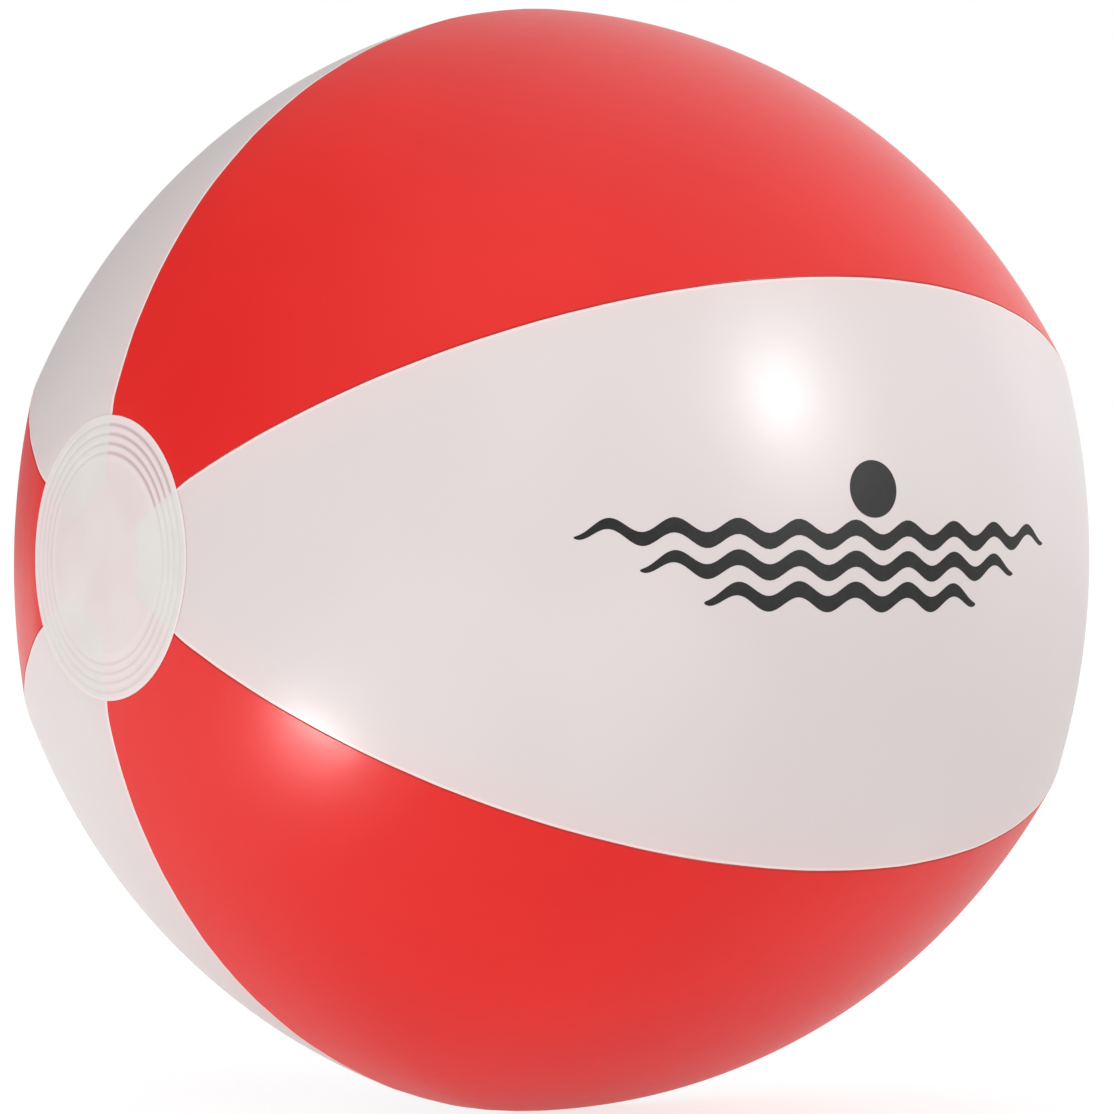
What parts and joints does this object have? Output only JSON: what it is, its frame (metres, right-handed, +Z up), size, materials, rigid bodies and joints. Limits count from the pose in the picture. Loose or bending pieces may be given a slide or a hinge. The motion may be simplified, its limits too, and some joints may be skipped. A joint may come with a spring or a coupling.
{
  "type": "inflatable beach ball",
  "caption": "Inflatable beach ball of alternating red and white film gores with a welded disc at each pole and a push-in inflation valve with a strapped stopper.",
  "frame": {"origin": "centre of the ball", "axes": "+X along the polar axis towards the pole nearer the valve, -Y through the centre of a white gore, +Z up, with the ball resting on the seam at -Z"},
  "size_m": [0.2926, 0.302, 0.3106],
  "materials": {
    "film_white": "satin",
    "film_red": "satin",
    "disc_film": "satin",
    "valve_white": "satin"
  },
  "bodies": {
    "ball": {"gore_front": "film_white", "gore_front_low": "film_red", "gore_back_low": "film_white", "gore_back": "film_red", "gore_back_high": "film_white", "gore_front_high": "film_red", "pole_disc_left": "disc_film", "pole_disc_right": "disc_film", "valve_flange": "valve_white", "valve_web": "valve_white"},
    "stem": {"valve_stem": "valve_white"},
    "stopper": {"stopper": "valve_white", "tether": "valve_white"},
    "flap": {"check_flap": "valve_white"}
  },
  "joints": [
    {"name": "stem_pull", "type": "slide", "parent": "ball", "child": "stem", "axis": [0.8477, 0.2653, 0.4595], "range_m": [0, 0.016], "deforming": ["valve_web"]},
    {"name": "stopper_swing", "type": "hinge", "parent": "stem", "child": "stopper", "pos_m": [0.12568, 0.04464, 0.07732], "axis": [0, -0.866, 0.5], "range_deg": [0, 150]},
    {"name": "flap_swing", "type": "hinge", "parent": "stem", "child": "flap", "pos_m": [0.11418, 0.03833, 0.06638], "axis": [0, 0.866, -0.5], "range_deg": [0, 60], "stiffness_Nm_per_rad": 0.0005, "springref_deg": -17.19}
  ]
}
